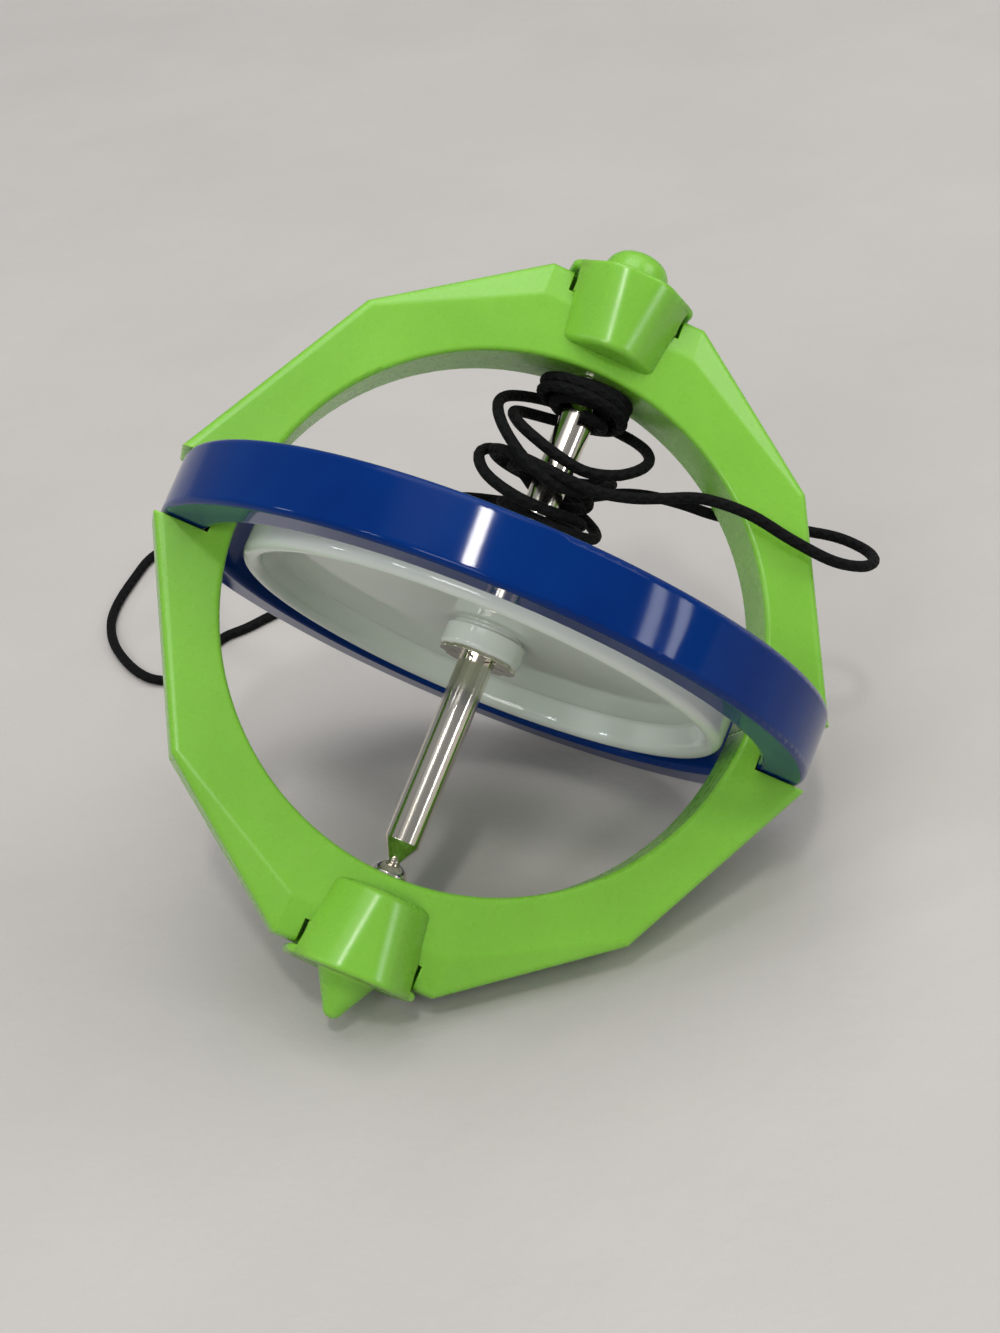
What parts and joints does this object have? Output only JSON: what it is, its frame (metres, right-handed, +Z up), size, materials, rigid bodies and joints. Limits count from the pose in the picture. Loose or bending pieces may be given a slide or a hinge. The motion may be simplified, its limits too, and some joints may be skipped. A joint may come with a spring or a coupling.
{
  "type": "gyroscope with pull string",
  "caption": "Toy gyroscope lying on a table: flywheel on a steel axle inside a guard ring and faceted plastic frame, with cord tangled on the axle.",
  "frame": {"origin": "On the table, under the centre of the box round the gyroscope as it lies at rest, cord left out.", "axes": "+Z is up from the table. +X runs along the longest side of that box, to the right as the upper hub leans away to the right. +Y points to the back, away from a viewer who sees the lower hub nearest."},
  "size_m": [0.0974, 0.1158, 0.0639],
  "materials": {
    "green_plastic": "glossy lime green plastic, slightly translucent",
    "blue_plastic": "deep glossy royal blue plastic",
    "white_plastic": "smooth off-white enamelled surface",
    "bright_steel": "bright polished steel",
    "black_cord": "braided cotton cord, matt black"
  },
  "bodies": {
    "frame": {"upper_frame": "green_plastic", "lower_frame": "green_plastic", "guard_ring": "blue_plastic", "top_cap": "green_plastic", "foot_cap": "green_plastic", "upper_bearing_cup": "bright_steel", "lower_bearing_cup": "bright_steel", "string_tangle": "black_cord", "string_arm_loop": "black_cord", "string_table_run": "black_cord"},
    "rotor": {"flywheel": "white_plastic", "axle": "bright_steel", "upper_retaining_washer": "bright_steel", "lower_retaining_washer": "bright_steel"}
  },
  "joints": [
    {"name": "rotor_spin", "type": "hinge", "parent": "frame", "child": "rotor", "pos_m": [0, 0, 0.03194], "axis": [0.4901, 0.6172, 0.6155], "continuous": true}
  ]
}
